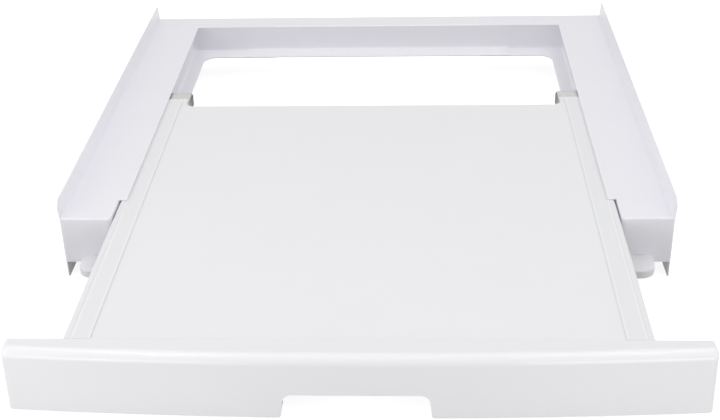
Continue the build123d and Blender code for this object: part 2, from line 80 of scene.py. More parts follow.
class FinishSettings(bpy.types.PropertyGroup):
    enamel: FloatVectorProperty(
        name="Enamel", description="Powder coat on the frame's sheets", subtype="COLOR",
        default=(0.875, 0.867, 0.912), min=0, max=1)
    shelf_enamel: FloatVectorProperty(
        name="Shelf enamel", description="Powder coat on the pull-out shelf", subtype="COLOR",
        default=(0.86, 0.86, 0.878), min=0, max=1)
    panel_plastic: FloatVectorProperty(
        name="Panel plastic", description="Moulding at the front of the shelf", subtype="COLOR",
        default=(0.85, 0.847, 0.865), min=0, max=1)
    bar_plastic: FloatVectorProperty(
        name="Bar plastic", description="Cross bar under the front corners", subtype="COLOR",
        default=(0.83, 0.825, 0.85), min=0, max=1)
    zinc: FloatVectorProperty(
        name="Zinc", description="Galvanised sheet of the runners", subtype="COLOR",
        default=(0.60, 0.60, 0.585), min=0, max=1)
    # Colour of the painted shade on the runners' inner walls and at their cut edges
    runner_shade: FloatVectorProperty(
        name="Runner shade", description="Painted shade on the runners' inner walls and cut edges", subtype="COLOR",
        default=(0.03, 0.03, 0.035), min=0, max=1)
    cage: FloatVectorProperty(
        name="Cage", description="Pressed strips that hold the balls", subtype="COLOR",
        default=(0.45, 0.45, 0.46), min=0, max=1)
    ball: FloatVectorProperty(
        name="Ball", description="Polished bearing balls", subtype="COLOR",
        default=(0.75, 0.75, 0.77), min=0, max=1)
    screw: FloatVectorProperty(
        name="Screw", description="Zinc plated screws", subtype="COLOR",
        default=(0.66, 0.66, 0.66), min=0, max=1)
    rubber: FloatVectorProperty(
        name="Rubber", description="Closing buffers", subtype="COLOR",
        default=(0.055, 0.055, 0.058), min=0, max=1)
    peel_size: FloatProperty(
        name="Peel size", description="Size of the coat's fine ripples", unit="LENGTH",
        default=0.0011, min=0.0002, max=0.01)
    mottle_size: FloatProperty(
        name="Mottle size", description="Size of the faint patches in a coat", unit="LENGTH",
        default=0.06, min=0.005, max=0.5)
    spangle_size: FloatProperty(
        name="Spangle size", description="Size of the zinc's crystals", unit="LENGTH",
        default=0.004, min=0.0005, max=0.02)


class StageSettings(bpy.types.PropertyGroup):
    """Camera, lamps and background."""

    camera_place: FloatVectorProperty(
        name="Camera place", description="Where the camera stands", subtype="XYZ", unit="LENGTH",
        default=(0.048883, -1.189587, 0.662348))
    camera_yaw: FloatProperty(
        name="Camera yaw", description="Turn to the right of straight ahead", subtype="ANGLE",
        default=-0.051)
    camera_pitch: FloatProperty(
        name="Camera pitch", description="Angle below the horizon", subtype="ANGLE", default=0.517)
    camera_roll: FloatProperty(
        name="Camera roll", description="Turn about the line of sight", subtype="ANGLE",
        default=-0.027)
    focal_length: FloatProperty(
        name="Focal length", description="Lens, on a sensor 36 mm wide, in millimetres",
        default=61.088, min=10, max=300)
    world_strength: FloatProperty(
        name="World", description="Strength of the even light all round",
        default=0.252, min=0, max=5)
    world_side: FloatProperty(
        name="World aside", description="Strength of the light that grows to both sides",
        default=0.557, min=0, max=5)
    top_power: FloatProperty(
        name="Top lamp", description="Power of the lamp overhead, in watts", default=14.8, min=0)
    side_powers: FloatVectorProperty(
        name="Side lamps", description="Powers of the big lamps at the left and the right, in watts",
        size=2, default=(1.6, 3.0), min=0)
    corner_powers: FloatVectorProperty(
        name="Corner lamps", description="Powers of the lamps off the front corners, in watts",
        size=2, default=(3.8, 2.1), min=0)
    panel_powers: FloatVectorProperty(
        name="Panel lamps", description="Powers of the low lamps in front of the panel, in watts",
        size=2, default=(0.43, 0.47), min=0)
    strip_powers: FloatVectorProperty(
        name="Strip lamps", description="Powers of the narrow lamps above the panel, in watts",
        size=2, default=(0.68, 0.42), min=0)
    floor_glow: FloatProperty(
        name="Floor glow", description="How white the floor looks to the camera",
        default=0.87, min=0, max=1)


class DetailSettings(bpy.types.PropertyGroup):
    """Sizes of the small parts."""

    recess_reach: FloatProperty(
        name="Recess reach",
        description="Length of a cross recess's arm, as a share of the head's radius",
        default=0.52, min=0.2, max=0.6)
    recess_width: FloatProperty(
        name="Recess width",
        description="Half the width of a recess's arm, as a share of the head's radius",
        default=0.13, min=0.05, max=0.2)
    recess_taper: FloatProperty(
        name="Recess taper", description="Size of the recess's floor as a share of its mouth",
        default=0.7, min=0.3, max=1.0)
    flat_share: FloatProperty(
        name="Flat share",
        description="Radius of a head's flat top, as a share of the head's radius",
        default=0.64, min=0.6, max=0.95)
    thread_depth: FloatProperty(
        name="Thread depth", description="Depth of a screw's thread", unit="LENGTH",
        default=0.00035)
    thread_pitch: FloatProperty(
        name="Thread pitch", description="Length of one turn of thread", unit="LENGTH",
        default=0.0013)
    buffer_stem: FloatProperty(
        name="Buffer stem", description="Length of the stem behind a buffer's pad", unit="LENGTH",
        default=0.004)
    ring_steps: IntProperty(
        name="Ring steps", description="Sides of a turned part", default=32, min=12, max=96)
    round_steps: IntProperty(
        name="Round steps", description="Steps along a rounded profile", default=6, min=2, max=16)


# Nodes

white = (1.0, 1.0, 1.0)


def new_group(name, inputs, outputs):
    """Empty node group with numbers in and named sockets out."""
    tree = bpy.data.node_groups.new(name, "ShaderNodeTree")
    for label, value in inputs.items():
        socket = tree.interface.new_socket(name=label, in_out="INPUT", socket_type="NodeSocketFloat")
        socket.default_value = value
    for label in outputs:
        tree.interface.new_socket(name=label, in_out="OUTPUT", socket_type="NodeSocketFloat")
    return tree, tree.nodes.new("NodeGroupInput").outputs, tree.nodes.new("NodeGroupOutput").inputs


def group_outputs(tree, group, values):
    """Outputs of a shared group in a material, with some of its inputs set."""
    node = tree.nodes.new("ShaderNodeGroup")
    node.node_tree = group
    for label, value in values.items():
        node.inputs[label].default_value = value
    return node.outputs


def math_node(tree, operation, *values):
    """Result of a Math node, each of whose values is a number or a socket."""
    node = tree.nodes.new("ShaderNodeMath")
    node.operation = operation
    for socket, value in zip(node.inputs, values):
        if isinstance(value, (int, float)):
            socket.default_value = value
        else:
            tree.links.new(value, socket)
    return node.outputs[0]


def clamped(tree, value):
    """A value held between 0 and 1."""
    return math_node(tree, "MINIMUM", math_node(tree, "MAXIMUM", value, 0.0), 1.0)


def fading(tree, distance, width):
    """1 at no distance, 0 from a width away."""
    widths = math_node(tree, "DIVIDE", distance, width)
    return clamped(tree, math_node(tree, "SUBTRACT", 1.0, widths))


def object_point(tree):
    """Place in the frame, as every piece has its origin at the frame's."""
    return tree.nodes.new("ShaderNodeTexCoord").outputs["Object"]


def split_point(tree, point):
    """The X, Y and Z of a place, as sockets by name."""
    split = tree.nodes.new("ShaderNodeSeparateXYZ")
    tree.links.new(point, split.inputs[0])
    return split.outputs


def noise_node(tree, point, size, detail, roughness):
    """Noise whose patches are about as large as a size."""
    node = tree.nodes.new("ShaderNodeTexNoise")
    node.inputs["Detail"].default_value = detail
    node.inputs["Roughness"].default_value = roughness
    tree.links.new(point, node.inputs["Vector"])
    tree.links.new(math_node(tree, "DIVIDE", 1.0, size), node.inputs["Scale"])
    return node.outputs["Fac"]


def mix_node(tree, mask, colour):
    """Mix node that reaches a colour where a mask is 1."""
    mix = tree.nodes.new("ShaderNodeMix")
    mix.data_type = "RGBA"
    tree.links.new(mask, mix.inputs["Factor"])
    mix.inputs["B"].default_value = (*colour, 1.0)
    return mix


# Shared surfaces

# How fast the painted highlight on edges fills in as the rounded normal turns from the face's own
edge_highlight_gain = 3.4
# Share of the zinc's tone that comes from its crystals; the rest comes from its rolling lines
crystal_share = 0.55
# How much the rolling lines are drawn out along the depth
rolling_stretch = 0.02


def edge_mask(tree, radius):
    """1 along the folds and edges of a piece, 0 on its faces."""
    rounded = tree.nodes.new("ShaderNodeBevel")
    rounded.samples = 8
    tree.links.new(radius, rounded.inputs["Radius"])
    face = tree.nodes.new("ShaderNodeNewGeometry")
    product = tree.nodes.new("ShaderNodeVectorMath")
    product.operation = "DOT_PRODUCT"
    tree.links.new(rounded.outputs["Normal"], product.inputs[0])
    tree.links.new(face.outputs["Normal"], product.inputs[1])
    away = math_node(tree, "SUBTRACT", 1.0, product.outputs["Value"])
    return math_node(tree, "MINIMUM", math_node(tree, "MULTIPLY", away, edge_highlight_gain), 1.0)


def put_out_surface(tree, given, result, shade, height):
    """Put out a surface's tone and relief, and a roughness that follows the tone."""
    spread = math_node(tree, "MULTIPLY", shade, given["Spread"])
    roughness = math_node(tree, "ADD", given["Smooth"], spread)
    tree.links.new(shade, result["Shade"])
    tree.links.new(roughness, result["Roughness"])
    tree.links.new(height, result["Height"])


def coat_group():
    """Powder coat or moulded plastic: faint patches, fine ripples and a mask of the folds, which the
    enamels use for a painted highlight.
    """
    inputs = {"Peel Size": 0.001, "Mottle Size": 0.06, "Smooth": 0.3, "Spread": 0.08, "Edge Size": 0.002}
    outputs = ["Shade", "Roughness", "Height", "Edge"]
    tree, given, result = new_group("Coat surface", inputs, outputs)
    point = object_point(tree)
    mottle = noise_node(tree, point, given["Mottle Size"], detail=3.0, roughness=0.5)
    peel = noise_node(tree, point, given["Peel Size"], detail=1.0, roughness=0.4)
    put_out_surface(tree, given, result, mottle, peel)
    tree.links.new(edge_mask(tree, given["Edge Size"]), result["Edge"])
    return tree


def zinc_group():
    """Galvanised or rolled sheet: pale and dark crystals and fine lines along the rolling."""
    inputs = {"Spangle Size": 0.004, "Smooth": 0.35, "Spread": 0.2, "Line Size": 0.0006}
    tree, given, result = new_group("Zinc surface", inputs, ["Shade", "Roughness", "Height"])
    point = object_point(tree)
    crystals = tree.nodes.new("ShaderNodeTexVoronoi")
    tree.links.new(point, crystals.inputs["Vector"])
    tree.links.new(math_node(tree, "DIVIDE", 1.0, given["Spangle Size"]), crystals.inputs["Scale"])
    tone = tree.nodes.new("ShaderNodeSeparateColor")
    tree.links.new(crystals.outputs["Color"], tone.inputs["Color"])
    stretch = tree.nodes.new("ShaderNodeMapping")
    stretch.inputs["Scale"].default_value = (1.0, rolling_stretch, 1.0)
    tree.links.new(point, stretch.inputs["Vector"])
    lines = noise_node(tree, stretch.outputs["Vector"], given["Line Size"], detail=2.0, roughness=0.5)
    from_crystals = math_node(tree, "MULTIPLY", tone.outputs["Red"], crystal_share)
    from_lines = math_node(tree, "MULTIPLY", lines, 1 - crystal_share)
    put_out_surface(tree, given, result, math_node(tree, "ADD", from_crystals, from_lines), lines)
    return tree


def tint(made, mask, colour, share=1.0):
    """Mix a colour into a material's base colour where a mask is 1."""
    tree = made.node_tree
    base = tree.nodes["Principled BSDF"].inputs["Base Color"]
    mix = mix_node(tree, math_node(tree, "MULTIPLY", mask, share), colour)
    tree.links.new(base.links[0].from_socket, mix.inputs["A"])
    tree.links.new(mix.outputs["Result"], base)


def surface_material(name, group, values, colour, contrast, bump, metallic=0.0, edge=0.0):
    """Principled material whose tone, roughness and bump come from a shared group."""
    made = bpy.data.materials.new(name)
    made.use_nodes = True
    tree = made.node_tree
    shader = tree.nodes["Principled BSDF"].inputs
    surface = group_outputs(tree, group, values)
    tone = mix_node(tree, surface["Shade"], [min(channel * (1 + contrast), 1.0) for channel in colour])
    tone.inputs["A"].default_value = (*[channel * (1 - contrast) for channel in colour], 1.0)
    tree.links.new(tone.outputs["Result"], shader["Base Color"])
    # Painted highlight: the base colour turns toward white along folds and edges
    if edge:
        tint(made, surface["Edge"], white, edge)
    tree.links.new(surface["Roughness"], shader["Roughness"])
    relief = tree.nodes.new("ShaderNodeBump")
    relief.inputs["Distance"].default_value = bump
    tree.links.new(surface["Height"], relief.inputs["Height"])
    tree.links.new(relief.outputs["Normal"], shader["Normal"])
    shader["Metallic"].default_value = metallic
    return made


# Places on the CAD nodes

def box_of(points):
    """Lowest and highest corner round some points."""
    low = Vector([min(point[axis] for point in points) for axis in range(3)])
    high = Vector([max(point[axis] for point in points) for axis in range(3)])
    return low, high


def mesh_points(node):
    """All points of a CAD node's mesh."""
    return [point.co for point in frame["nodes"][node].data.vertices]


def top_points(node):
    """Points in the top sheet of a CAD node's mesh."""
    points = mesh_points(node)
    top = box_of(points)[1].z
    return [point for point in points if top - point.z < sheet_thickness]


# Painted shade on the runners

# Powers that bend the painted shade's fall off from the wall and from the rear
wall_fall, rear_fall = 0.5, 0.3
# How dark the painted shade on the cut edge is, as a share of the full shade
cut_edge_shade_share = 0.7


def runner_shade_group():
    """Painted shade on a runner's inner wall, darkest at its rear, and on the cut edge there."""
    inputs = {"Wall": 0.2, "Rear": 0.15, "Wall Band": 0.0016, "Reach": 0.03, "Cut Edge": 0.0009}
    tree, given, result = new_group("Runner painted shade", inputs, ["Mask"])
    place = split_point(tree, object_point(tree))
    off_middle = math_node(tree, "ABSOLUTE", place["X"])
    off_wall = math_node(tree, "SUBTRACT", off_middle, given["Wall"])
    off_rear = math_node(tree, "SUBTRACT", given["Rear"], place["Y"])
    on_wall = math_node(tree, "POWER", fading(tree, off_wall, given["Wall Band"]), wall_fall)
    near = math_node(tree, "POWER", fading(tree, off_rear, given["Reach"]), rear_fall)
    cut = math_node(tree, "MULTIPLY", fading(tree, off_rear, given["Cut Edge"]), cut_edge_shade_share)
    wall_shade = math_node(tree, "MULTIPLY", on_wall, near)
    tree.links.new(math_node(tree, "MAXIMUM", wall_shade, cut), result["Mask"])
    return tree


def runner_shade_over(made, colour):
    """Lay the runners' painted shade over a metal, which stops being metallic where the shade lies."""
    low, high = box_of(mesh_points("shelf_runner_left"))
    tree = made.node_tree
    shader = tree.nodes["Principled BSDF"].inputs
    mask = group_outputs(tree, runner_shade_group(), {"Wall": -high.x, "Rear": high.y})["Mask"]
    tint(made, mask, colour)
    tree.links.new(math_node(tree, "SUBTRACT", 1.0, mask), shader["Metallic"])
    shader["Specular IOR Level"].default_value = 0.15


# Painted highlights and shade on the shelf's borders

# Share of the inner edge's painted highlight and of the painted shade over the border
inner_highlight_share, border_shade_share = 0.8, 0.3
# How strongly the painted highlights show, and how bright the painted shade is beside the coat
border_highlight_share, painted_shade_level = 0.4, 0.9


def border_light_group():
    """Painted light on the shelf's raised borders: highlights on the groove and inner edge, shade beside
    them and a faint shade over the border.
    """
    inputs = {"Half": 0.2, "Border": 0.0236, "Groove": 0.0075, "Line": 0.0012}
    tree, given, result = new_group("Shelf border light", inputs, ["Pale", "Dark"])
    off_middle = math_node(tree, "ABSOLUTE", split_point(tree, object_point(tree))["X"])
    inward = math_node(tree, "SUBTRACT", given["Half"], off_middle)

    def band(middle, lines_inward=0.0):
        """1 along the depth at a middle moved some line widths inward, 0 a line's width off it."""
        centre = math_node(tree, "MULTIPLY_ADD", given["Line"], lines_inward, given[middle])
        off = math_node(tree, "ABSOLUTE", math_node(tree, "SUBTRACT", inward, centre))
        return fading(tree, off, given["Line"])

    inner_highlight = math_node(tree, "MULTIPLY", band("Border", lines_inward=-1.2), inner_highlight_share)
    pale = math_node(tree, "MAXIMUM", band("Groove"), inner_highlight)
    left = math_node(tree, "SUBTRACT", given["Border"], inward)
    whole = clamped(tree, math_node(tree, "DIVIDE", left, given["Line"]))
    on_border = math_node(tree, "MULTIPLY", whole, border_shade_share)
    beside = math_node(tree, "MAXIMUM", band("Groove", lines_inward=-1.5), band("Border", lines_inward=0.3))
    tree.links.new(pale, result["Pale"])
    tree.links.new(math_node(tree, "MAXIMUM", beside, on_border), result["Dark"])
    return tree


def border_light_over(made, colour):
    """Lay the borders' painted shade and highlights over the shelf's coat."""
    half = box_of(mesh_points("shelf_panel"))[1].x
    tones = group_outputs(made.node_tree, border_light_group(), {"Half": half})
    tint(made, tones["Dark"], [channel * painted_shade_level for channel in colour])
    tint(made, tones["Pale"], white, border_highlight_share)


# Painted light in the opening

# Pale tone of the painted light, and how strongly it shows as light on the ledges and as a painted
# highlight along the rear strip's edge
painted_light_tone = (0.97, 0.963, 1.0)
ledge_light_share, strip_highlight_share = 0.5, 1.0


def opening_light_group():
    """Painted light in the opening: paler ledges where light falls, and a painted highlight along the rear
    strip's front edge.
    """
    inputs = {"Ledge": -0.03, "Strip": 0.2, "Half": 0.2, "Line": 0.0018}
    tree, given, result = new_group("Opening painted light", inputs, ["Ledge", "Strip"])
    place = split_point(tree, object_point(tree))
    above = math_node(tree, "SUBTRACT", place["Z"], given["Ledge"])
    behind = math_node(tree, "SUBTRACT", place["Y"], given["Strip"])
    near = math_node(tree, "LESS_THAN", math_node(tree, "ABSOLUTE", behind), given["Line"])
    off_middle = math_node(tree, "ABSOLUTE", place["X"])
    between = math_node(tree, "LESS_THAN", off_middle, given["Half"])
    tree.links.new(fading(tree, above, given["Line"]), result["Ledge"])
    tree.links.new(math_node(tree, "MULTIPLY", near, between), result["Strip"])
    return tree


def opening_light_over(well, deck):
    """Lay the opening's painted light over the coats of its walls and of the deck."""
    group = opening_light_group()
    values = {
        "Ledge": box_of(mesh_points("rear_channel"))[0].z + sheet_thickness,
        "Strip": min(point.y for point in top_points("rear_channel")),
        "Half": min(point.x for point in top_points("side_channel_right")),
    }
    for made, output, share in ((well, "Ledge", ledge_light_share), (deck, "Strip", strip_highlight_share)):
        tones = group_outputs(made.node_tree, group, values)
        tint(made, tones[output], painted_light_tone, share)


# Materials, by the name of their slot in the record or of the finish that stands in for it

materials = {}

# How strongly the painted highlight shows along the folds and edges of the plates and the deck
fold_highlight_share = 0.8
# Size of the ripples in the panel's plastic, as a share of those in the powder coat
panel_ripple_share = 0.6


def add_enamels(finish, coat):
    """Powder coats of the plates, the deck, the opening's walls and the shelf."""
    values = {
        "Peel Size": finish.peel_size,
        "Mottle Size": finish.mottle_size,
        "Smooth": 0.34,
        "Spread": 0.08,
    }
    enamels = (
        ("white_enamel", "White enamel", fold_highlight_share),
        ("deck_enamel", "Deck enamel", fold_highlight_share),
        ("well_enamel", "Opening enamel", 0.0),
    )
    for slot, name, edge in enamels:
        materials[slot] = surface_material(
            name, coat, values, finish.enamel, contrast=0.012, bump=0.000012, edge=edge)
    materials["shelf_enamel"] = surface_material(
        "Shelf enamel", coat, values, finish.shelf_enamel, contrast=0.01, bump=0.00001)


def add_mouldings(finish, coat):
    """Plastic of the panel and of the cross bar, and rubber of the buffers."""
    smooth = {
        "Peel Size": finish.peel_size * panel_ripple_share,
        "Mottle Size": finish.mottle_size,
        "Smooth": 0.2,
        "Spread": 0.06,
    }
    rough = {"Peel Size": 0.0007, "Mottle Size": 0.01, "Smooth": 0.6, "Spread": 0.15}
    materials["panel_plastic"] = surface_material(
        "Panel plastic", coat, smooth, finish.panel_plastic, contrast=0.006, bump=0.000003)
    materials["white_plastic"] = surface_material(
        "Bar plastic", coat, rough, finish.bar_plastic, contrast=0.01, bump=0.00001)
    materials["buffer_rubber"] = surface_material(
        "Buffer rubber", coat, rough, finish.rubber, contrast=0.1, bump=0.00002)


def add_metals(finish, zinc):
    """Galvanised sheet, the cages' strip, the balls' steel and the screws' plating."""
    sheet = {"Spangle Size": finish.spangle_size, "Smooth": 0.3, "Spread": 0.2, "Line Size": 0.0006}
    polished = {"Smooth": 0.05, "Spread": 0.04}
    plated = {"Spangle Size": 0.0015, "Smooth": 0.22, "Spread": 0.15, "Line Size": 0.0003}
    # Slot, name, surface, colour, contrast of the tone, and height of the relief in metres
    metals = (
        ("zinc_steel", "Galvanised sheet", sheet, finish.zinc, 0.12, 0.000006),
        ("runner_zinc", "Runner zinc with painted shade", sheet, finish.zinc, 0.12, 0.000006),
        ("cage_steel", "Cage strip", sheet, finish.cage, 0.1, 0.000006),
        ("ball_steel", "Ball steel", polished, finish.ball, 0.02, 0.0000005),
        ("screw_steel", "Screw zinc", plated, finish.screw, 0.1, 0.000004),
    )
    for slot, name, values, colour, contrast, bump in metals:
        materials[slot] = surface_material(name, zinc, values, colour, contrast, bump, metallic=1.0)


def dress(*nodes, finish=None):
    """Give CAD nodes a finish, or that of their slots."""
    for name in nodes:
        for place in frame["nodes"][name].material_slots:
            place.material = materials[finish or record_slots[name]]


# Shapes

# Edges that bend more than this stay sharp in a smooth piece
smooth_angle = math.radians(32)
# Distances, in metres, within which points of a solid and of a turned profile are one
solid_weld, profile_weld = 0.000001, 0.0000001


def add_piece(shape, name, body, slot, replaced):
    """Link a finished bmesh on a body, with the finish of a slot, in place of some CAD nodes."""
    mesh = bpy.data.meshes.new(name)
    bmesh.ops.recalc_face_normals(shape, faces=shape.faces)
    shape.to_mesh(mesh)
    shape.free()
    mesh.materials.append(materials[slot])
    piece = bpy.data.objects.new(name, mesh)
    bpy.context.scene.collection.objects.link(piece)
    for face in mesh.polygons:
        face.use_smooth = True
    mesh.set_sharp_from_angle(angle=smooth_angle)
    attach(piece, body)
    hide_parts(*replaced)


def solid_boxes(node):
    """Lowest and highest corners of every separate solid in a CAD node."""
    shape = bmesh.new()
    shape.from_mesh(frame["nodes"][node].data)
    bmesh.ops.remove_doubles(shape, verts=shape.verts, dist=solid_weld)
    boxes = []
    left = set(shape.verts)
    while left:
        found = {left.pop()}
        newest = set(found)
        while newest:
            newest = {line.other_vert(point) for point in newest for line in point.link_edges} - found
            found |= newest
        left -= found
        boxes.append(box_of([point.co for point in found]))
    shape.free()
    return sorted(boxes, key=lambda box: tuple(box[0]))


def turned(shape, profile, steps):
    """Turn a profile of (radius, height) pairs about the Z axis; the new points are returned."""
    points = [shape.verts.new((radius, 0.0, height)) for radius, height in profile]
    lines = [shape.edges.new(pair) for pair in zip(points, points[1:])]
    before = set(shape.verts) - set(points)
    bmesh.ops.spin(shape, geom=points + lines, cent=(0, 0, 0), axis=(0, 0, 1),
                   angle=math.tau, steps=steps, use_merge=True)
    made = [point for point in shape.verts if point not in before]
    bmesh.ops.remove_doubles(shape, verts=made, dist=profile_weld)
    return [point for point in shape.verts if point not in before]


def arc(centre, radius, start, end, steps):
    """Points of an arc in a profile."""
    angles = [start + (end - start) * step / steps for step in range(steps + 1)]
    across, up = centre
    return [(across + radius * math.cos(angle), up + radius * math.sin(angle)) for angle in angles]


def cross_outline(reach, width):
    """Corners of a cross, in order round it."""
    quarter = [(width, width), (width, reach), (-width, reach)]
    corners = []
    for turn in range(4):
        angle = turn * math.pi / 2
        cosine, sine = round(math.cos(angle)), round(math.sin(angle))
        corners += [(x * cosine - y * sine, x * sine + y * cosine) for x, y in quarter]
    return corners


# Radius of a screw's blunt tip, as a share of the shank's
tip_share = 0.55
# Most of a head's height that its rounded shoulder takes, and the depth of its recess
shoulder_share, recess_share = 0.8, 0.6
# Radius of a buffer's stem, and of the rounding of its face, as shares of the pad's
stem_share, dome_share = 3 / 7, 0.45


def screw_profile(head_radius, head_height, shank_radius, length, detail):
    """Radii and heights from the tip of a pan-head screw to the rim of its head's flat top."""
    tip = -length
    root = shank_radius - detail.thread_depth
    profile = [(0.0, tip), (shank_radius * tip_share, tip)]
    turns = max(int(length / detail.thread_pitch) - 1, 1)
    for turn in range(turns):
        height = tip + detail.thread_pitch * (turn + 0.5)
        profile += [(root, height), (shank_radius, height + detail.thread_pitch / 2)]
    profile += [(root, 0.0), (head_radius, 0.0)]
    flat = head_radius * detail.flat_share
    shoulder = head_radius - flat
    rise = head_height - min(shoulder, head_height * shoulder_share)
    squash = (head_height - rise) / shoulder
    rounding = arc((flat, 0.0), shoulder, 0.0, math.pi / 2, detail.round_steps)
    return profile + [(radius, rise + height * squash) for radius, height in rounding]


def add_recess(shape, rim, head_radius, head_height, detail):
    """Close the top of a screw's head with a cross recess; the new points are returned."""
    reach, width = head_radius * detail.recess_reach, head_radius * detail.recess_width
    mouth = [shape.verts.new((x, y, head_height)) for x, y in cross_outline(reach, width)]
    lines = [shape.edges.new(pair) for pair in zip(mouth, mouth[1:] + mouth[:1])]
    bmesh.ops.bridge_loops(shape, edges=rim + lines)
    walls = bmesh.ops.extrude_edge_only(shape, edges=lines)["geom"]
    floor = [item for item in walls if isinstance(item, bmesh.types.BMVert)]
    bmesh.ops.scale(shape, vec=(detail.recess_taper, detail.recess_taper, 1.0), verts=floor)
    bmesh.ops.translate(shape, vec=(0.0, 0.0, -head_height * recess_share), verts=floor)
    floor_lines = [item for item in walls if isinstance(item, bmesh.types.BMEdge)]
    bmesh.ops.contextual_create(shape, geom=floor_lines)
    return mouth + floor


def add_screw(shape, head_radius, head_height, shank_radius, length, detail):
    """Pan-head screw along Z, its head's underside at height 0; its points are returned."""
    profile = screw_profile(head_radius, head_height, shank_radius, length, detail)
    points = turned(shape, profile, detail.ring_steps)
    rim = {line for point in points for line in point.link_edges if line.is_boundary}
    return points + add_recess(shape, list(rim), head_radius, head_height, detail)


def add_buffer(shape, pad_radius, pad_length, stem_length, detail):
    """Rubber pad with a domed face along Z, its stem below height 0; its points are returned."""
    stem_radius = pad_radius * stem_share
    dome = pad_radius * dome_share
    profile = [(0.0, -stem_length), (stem_radius, -stem_length), (stem_radius, 0.0), (pad_radius, 0.0)]
    profile += arc((pad_radius - dome, pad_length - dome), dome, 0.0, math.pi / 2, detail.round_steps)
    profile.append((0.0, pad_length))
    return turned(shape, profile, detail.ring_steps)


def place_turned(shape, points, place, heading):
    """Turn points from +Z to a heading and move them to a place."""
    turn = Vector((0, 0, 1)).rotation_difference(heading).to_matrix().to_4x4()
    bmesh.ops.transform(shape, matrix=Matrix.Translation(place) @ turn, verts=points)


# Shank's share of the head's width, and the head's height in metres, of the two kinds of screw
front_screw = (3.5 / 7.0, 0.0022)
rail_screw = (4.0 / 7.6, 0.0018)

# Each set of screws: its CAD node, its body, the way that its heads face and its kind
screw_sets = (
    ("panel_screws", SHELF, Vector((0, 1, 0)), front_screw),
    ("cross_bar_screws", FRAME, Vector((0, 1, 0)), front_screw),
    ("cabinet_rail_screws", FRAME, Vector((0, 0, 1)), rail_screw),
)


def add_screw_set(node, body, heading, kind, detail):
    """One piece with a screw in place of each solid of a CAD node."""
    shank_share, head_height = kind
    shape = bmesh.new()
    for low, high in solid_boxes(node):
        size = high - low
        length = abs(size.dot(heading))
        head_radius = min(size) / 2
        seat = (low + high) / 2 + heading * (length / 2 - head_height)
        shank_radius = head_radius * shank_share
        points = add_screw(shape, head_radius, head_height, shank_radius, length - head_height, detail)
        place_turned(shape, points, seat, heading)
    add_piece(shape, f"{node}_cross_head", body, "screw_steel", [node])


def add_buffers(detail):
    """One piece with a domed buffer in place of each solid of the CAD node."""
    stem_length = detail.buffer_stem
    shape = bmesh.new()
    for low, high in solid_boxes("closing_buffers"):
        middle = (low + high) / 2
        pad_radius = (high.x - low.x) / 2
        pad_length = high.y - low.y - stem_length
        seat = Vector((middle.x, high.y - stem_length, middle.z))
        points = add_buffer(shape, pad_radius, pad_length, stem_length, detail)
        place_turned(shape, points, seat, Vector((0, -1, 0)))
    add_piece(shape, "domed_buffers", FRAME, "buffer_rubber", ["closing_buffers"])


# Stage

# Half the side of the square floor, in metres, and its grey under the lamps
floor_half = 6.0
floor_grey = (0.5, 0.5, 0.5)

# Places, aims and sizes of the lamps, in metres; those of the pairs are the right-hand ones
top_place, top_aim, top_size = (0.0, 0.2, 2.4), (0.0, 0.0, 0.0), (2.4, 2.0)
side_place, side_aim, side_size = (1.15, 0.1, 1.7), (0.0, 0.1, 0.05), (1.0, 1.0)
corner_place, corner_aim, corner_size = (1.1, -1.1, 0.5), (0.28, -0.37, 0.04), (0.5, 0.6)
panel_place, panel_aim, panel_size = (0.37, -0.83, 0.09), (0.28, -0.38, 0.035), (0.3, 0.08)
strip_place, strip_aim, strip_size = (0.4, -0.45, 1.0), (0.2, -0.37, 0.05), (0.45, 0.1)


def camera_ray_mask(tree):
    """1 where a ray comes straight from the camera, or by way of gloss or glass."""
    path = tree.nodes.new("ShaderNodeLightPath")
    seen = math_node(tree, "MAXIMUM", path.outputs["Is Camera Ray"], path.outputs["Is Glossy Ray"])
    return math_node(tree, "MAXIMUM", seen, path.outputs["Is Transmission Ray"])


def floor_material(stage):
    """Matt floor that glows for the camera alone, so that it looks white and keeps its shadow."""
    made = bpy.data.materials.new("Pale floor")
    made.use_nodes = True
    tree = made.node_tree
    shader = tree.nodes["Principled BSDF"].inputs
    shader["Base Color"].default_value = (*floor_grey, 1.0)
    shader["Roughness"].default_value = 0.9
    shader["Specular IOR Level"].default_value = 0.0
    shader["Emission Color"].default_value = (*white, 1.0)
    glow = math_node(tree, "MULTIPLY", camera_ray_mask(tree), stage.floor_glow)
    tree.links.new(glow, shader["Emission Strength"])
    return made


def make_floor(stage):
    shape = bmesh.new()
    bmesh.ops.create_grid(shape, x_segments=1, y_segments=1, size=floor_half)
    mesh = bpy.data.meshes.new("floor")
    shape.to_mesh(mesh)
    shape.free()
    floor = bpy.data.objects.new("floor", mesh)
    floor.location = (0, 0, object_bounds()[0][2])
    bpy.context.scene.collection.objects.link(floor)
    mesh.materials.append(floor_material(stage))
    floor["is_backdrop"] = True


def make_world(stage):
    """White light that grows to both sides, and a white background for the camera."""
    world = bpy.data.worlds.new("Studio")
    bpy.context.scene.world = world
    world.use_nodes = True
    tree = world.node_tree
    background = tree.nodes["Background"].inputs
    background["Color"].default_value = (*white, 1.0)
    heading = split_point(tree, tree.nodes.new("ShaderNodeTexCoord").outputs["Generated"])
    aside = math_node(tree, "ABSOLUTE", heading["X"])
    from_sides = math_node(tree, "MULTIPLY", aside, stage.world_side)
    light = math_node(tree, "ADD", from_sides, stage.world_strength)
    lack = math_node(tree, "SUBTRACT", 1.0, light)
    seen = math_node(tree, "MULTIPLY", camera_ray_mask(tree), lack)
    tree.links.new(math_node(tree, "ADD", seen, light), background["Strength"])


